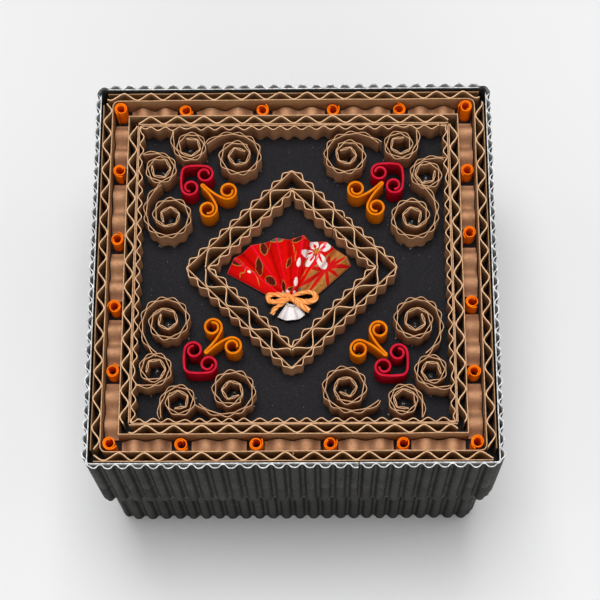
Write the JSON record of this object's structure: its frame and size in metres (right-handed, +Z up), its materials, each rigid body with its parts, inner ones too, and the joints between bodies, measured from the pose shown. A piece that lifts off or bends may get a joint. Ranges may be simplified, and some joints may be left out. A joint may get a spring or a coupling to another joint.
{
  "type": "lidded paper gift box",
  "caption": "Square card gift box with a lift-off lid, clad in ribbed black paper; the sunk lid top holds corrugated kraft strips, quilled coils and hearts round a folded paper fan.",
  "frame": {"origin": "centre of the underside of the tray", "axes": "+Z up through the lid, -Y to the front that faces the camera"},
  "size_m": [0.1, 0.1, 0.0665],
  "materials": {
    "black_card": "matt black card",
    "black_ribbed": "black ribbed paper with pale cut edges",
    "kraft_board": "brown corrugated board",
    "kraft_ribbed": "brown ribbed paper",
    "orange_roll": "orange paper",
    "orange_quill": "amber orange quilling paper",
    "red_quill": "crimson quilling paper",
    "fan_print": "red patterned washi paper, white at the gathered end",
    "raffia": "twisted orange raffia"
  },
  "bodies": {
    "base": {"base_cladding": "black_ribbed", "base_tray": "black_card"},
    "lid": {"border_strip": "kraft_ribbed", "channel_tiles_back": "kraft_board", "channel_tiles_front": "kraft_board", "channel_tiles_left": "kraft_board", "channel_tiles_right": "kraft_board", "coil_back_left_a": "kraft_ribbed", "coil_back_left_b": "kraft_ribbed", "coil_back_left_c": "kraft_ribbed", "coil_back_left_d": "kraft_ribbed", "coil_back_right_a": "kraft_ribbed", "coil_back_right_b": "kraft_ribbed", "coil_back_right_c": "kraft_ribbed", "coil_back_right_d": "kraft_ribbed", "coil_front_left_a": "kraft_ribbed", "coil_front_left_b": "kraft_ribbed", "coil_front_left_c": "kraft_ribbed", "coil_front_left_d": "kraft_ribbed", "coil_front_right_a": "kraft_ribbed", "coil_front_right_b": "kraft_ribbed", "coil_front_right_c": "kraft_ribbed", "coil_front_right_d": "kraft_ribbed", "diamond_flutes_back": "kraft_board", "diamond_flutes_front": "kraft_board", "diamond_flutes_left": "kraft_board", "diamond_flutes_right": "kraft_board", "diamond_inner_strip": "kraft_ribbed", "diamond_outer_strip": "kraft_ribbed", "fan": "fan_print", "fan_bow": "raffia", "heart_back_left": "red_quill", "heart_back_right": "red_quill", "heart_front_left": "red_quill", "heart_front_right": "red_quill", "inner_rail_back": "kraft_board", "inner_rail_front": "kraft_board", "inner_rail_left": "kraft_board", "inner_rail_right": "kraft_board", "lid_cladding": "black_ribbed", "lid_shell": "black_card", "outer_frame": "kraft_board", "rolled_tubes_back": "orange_roll", "rolled_tubes_front": "orange_roll", "rolled_tubes_left": "orange_roll", "rolled_tubes_right": "orange_roll", "scroll_back_left": "orange_quill", "scroll_back_right": "orange_quill", "scroll_front_left": "orange_quill", "scroll_front_right": "orange_quill"}
  },
  "joints": [
    {"name": "lid_lift", "type": "slide", "parent": "base", "child": "lid", "axis": [0, 0, 1], "range_m": [0, 0.1]}
  ]
}
